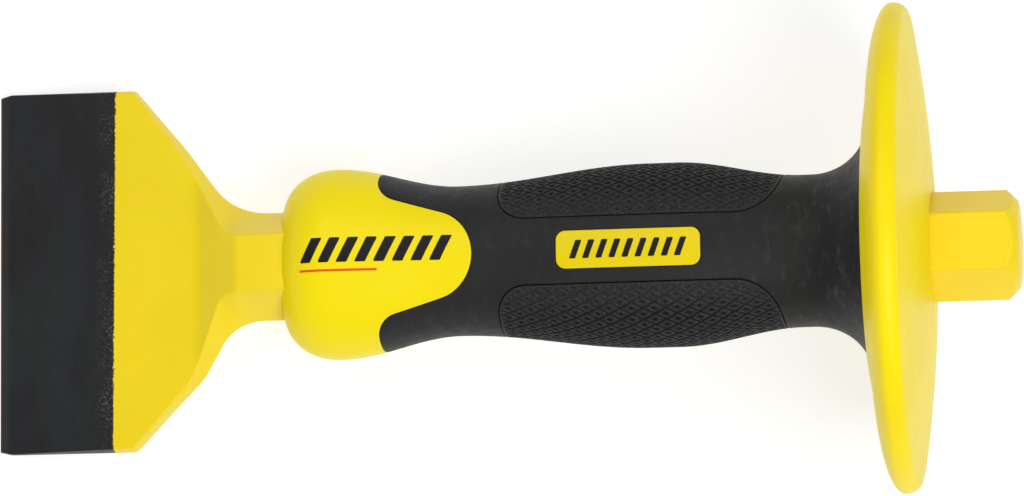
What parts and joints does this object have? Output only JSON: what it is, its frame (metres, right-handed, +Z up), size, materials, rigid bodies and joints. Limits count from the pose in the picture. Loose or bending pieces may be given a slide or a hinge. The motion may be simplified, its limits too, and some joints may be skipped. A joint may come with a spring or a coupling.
{
  "type": "cold chisel",
  "caption": "Wide flat-bladed chisel with a hexagonal shank, a moulded rubber grip and a round guard that shields the hand from the hammer.",
  "frame": {"origin": "on the surface that the tool lies on, under the middle of its bounding box", "axes": "+X horizontal, towards the struck head; +Y across the blade; +Z up. The tool lies on its cutting edge and the rim of its guard, so its own axis rises 14.7 degrees towards the head"},
  "size_m": [0.2108, 0.1014, 0.0983],
  "materials": {
    "painted_steel": "satin paint over forged steel, the cutting end left black",
    "core_plastic": "moulded, hidden under the grip",
    "nose_plastic": "moulded, semi-matte",
    "grip_rubber": "smooth satin rubber",
    "panel_rubber": "rubber with a moulded diamond texture",
    "badge_plastic": "moulded, semi-gloss",
    "guard_vinyl": "soft vinyl, smooth and slightly glossy"
  },
  "bodies": {
    "root": {"chisel_forging": "painted_steel", "core_sleeve": "core_plastic", "nose_collar": "nose_plastic", "grip_overmould": "grip_rubber", "grip_flare": "grip_rubber", "grip_panel_upper": "panel_rubber", "grip_panel_lower": "panel_rubber", "badge_front": "badge_plastic", "badge_back": "badge_plastic", "guard_disc": "guard_vinyl"}
  },
  "joints": []
}
